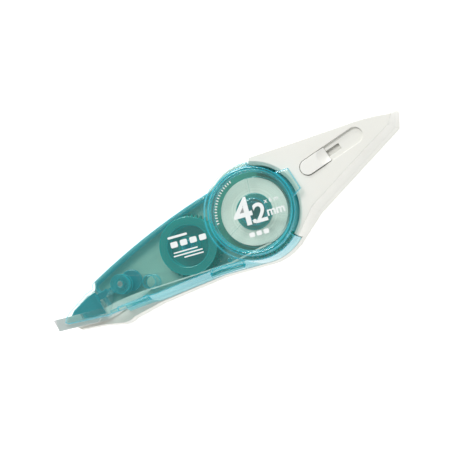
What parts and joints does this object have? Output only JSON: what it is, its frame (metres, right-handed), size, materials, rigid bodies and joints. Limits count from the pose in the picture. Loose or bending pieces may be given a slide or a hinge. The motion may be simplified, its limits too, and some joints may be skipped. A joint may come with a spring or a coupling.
{
  "type": "correction tape roller",
  "caption": "Hand-held correction tape roller: a white holder with a tail and thumb slider, and a clear refill that lifts out, with geared reels, guide roller and blade.",
  "frame": {"origin": "on the flat back, under the axis of the supply reel", "axes": "+X runs to the tail's end and -X to the applicator blade, +Z from the flat back up through the reels to the window, +Y completes the frame towards the refill's long upper edge"},
  "size_m": [0.1382, 0.0364, 0.016],
  "materials": {
    "holder_white": "fine matt moulding",
    "slider_white": "satin moulding",
    "tongue_white": "plain moulding",
    "spring_steel": "bright strip",
    "case_teal": "clear tinted, polished",
    "clear_teal": "clear tinted, polished",
    "window_clear": "clear, polished",
    "applicator_white": "smooth moulding",
    "head_teal": "tinted, polished",
    "roller_clear": "clear tinted",
    "pin_steel": "ground wire",
    "gear_green": "low-friction moulding, satin",
    "clutch_rubber": "moulded",
    "spool_teal": "moulded",
    "tape_white": "matt correction coating on film",
    "film_clear": "thin clear film"
  },
  "bodies": {
    "holder": {"holder_tray": "holder_white", "tail_cover": "holder_white", "detent_spring": "spring_steel"},
    "slider": {"thumb_slider": "slider_white", "lock_tongue": "tongue_white"},
    "refill": {"lower_case": "case_teal", "upper_case": "clear_teal", "ring_window": "window_clear", "applicator_head": "applicator_white", "head_holder": "head_teal", "roller_pin": "pin_steel", "tape_feed": "tape_white", "film_return": "film_clear"},
    "supply_drive": {"supply_gear": "gear_green", "clutch_ring": "clutch_rubber"},
    "supply_reel": {"supply_spool": "spool_teal", "tape_roll": "tape_white"},
    "take_up_reel": {"take_up_gear": "gear_green", "take_up_spool": "spool_teal", "film_roll": "film_clear"},
    "roller": {"guide_roller": "roller_clear"}
  },
  "joints": [
    {"name": "refill_lift", "type": "slide", "parent": "holder", "child": "refill", "axis": [0, 0, 1], "range_m": [0, 0.02]},
    {"name": "slider_travel", "type": "slide", "parent": "holder", "child": "slider", "axis": [0.9964, 0.0522, -0.0671], "range_m": [0, 0.01]},
    {"name": "supply_spool_spin", "type": "hinge", "parent": "refill", "child": "supply_reel", "pos_m": [0, 0, 0], "axis": [0, 0, 1], "continuous": true},
    {"name": "supply_gear_spin", "type": "hinge", "parent": "refill", "child": "supply_drive", "pos_m": [0, 0, 0], "axis": [0, 0, 1], "continuous": true},
    {"name": "take_up_spin", "type": "hinge", "parent": "refill", "child": "take_up_reel", "pos_m": [-0.02542, 0.002, 0], "axis": [0, 0, 1], "continuous": true},
    {"name": "guide_roller_spin", "type": "hinge", "parent": "refill", "child": "roller", "pos_m": [-0.0524, 0.0033, 0], "axis": [0, 0, 1], "continuous": true}
  ],
  "couplings": [
    {"joint": "supply_gear_spin", "follows": "supply_spool_spin", "ratio": 1},
    {"joint": "take_up_spin", "follows": "supply_spool_spin", "ratio": -1.4286},
    {"joint": "guide_roller_spin", "follows": "supply_spool_spin", "ratio": 4.4231}
  ]
}
